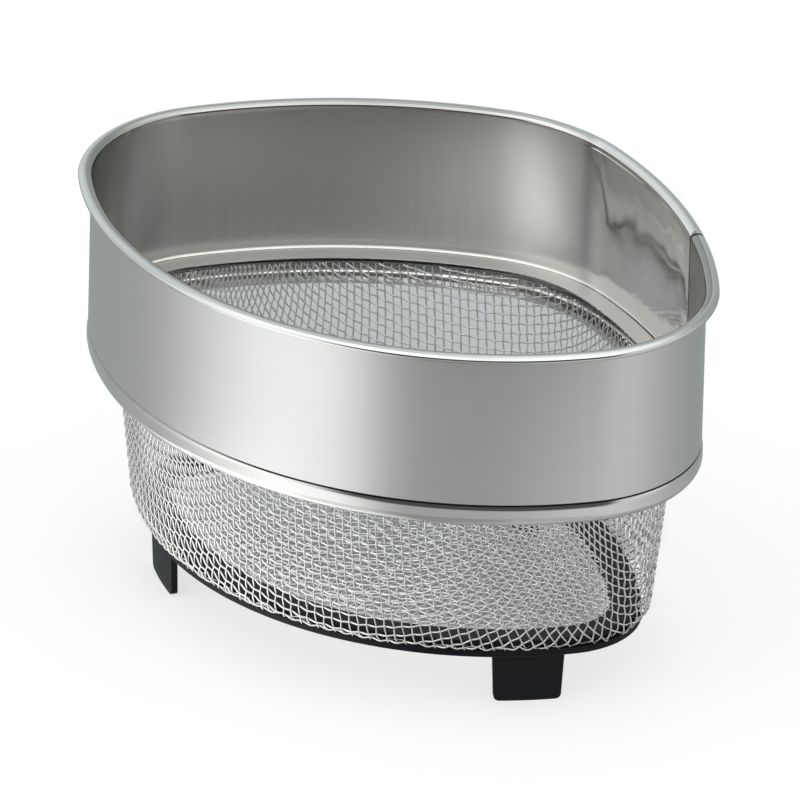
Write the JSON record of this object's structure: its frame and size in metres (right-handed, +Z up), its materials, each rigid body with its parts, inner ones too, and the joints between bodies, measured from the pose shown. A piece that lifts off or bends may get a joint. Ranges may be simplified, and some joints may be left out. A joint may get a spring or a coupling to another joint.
{
  "type": "sink strainer",
  "caption": "Free-standing corner strainer for a kitchen sink: a rounded-triangle steel band with a rolled rim over a drawn wire-mesh basket, on a black plastic ring with plate legs.",
  "frame": {"origin": "on the surface it stands on, under the middle of the rim's outline", "axes": "+X along the front from the left tip to the right tip, +Y from the bowed front to the back corner, +Z up"},
  "size_m": [0.242, 0.186, 0.1435],
  "materials": {
    "band_steel": "satin stainless sheet",
    "ring_steel": "polished stainless sheet",
    "mesh_wire": "bright drawn wire, plain weave",
    "black_plastic": "satin moulded",
    "pin_steel": "plain"
  },
  "bodies": {
    "root": {"side_band": "band_steel", "basket_rim": "ring_steel", "mesh_basket": "mesh_wire", "clamp_ring": "black_plastic", "base_ring": "black_plastic", "clamp_pins": "pin_steel"}
  },
  "joints": []
}
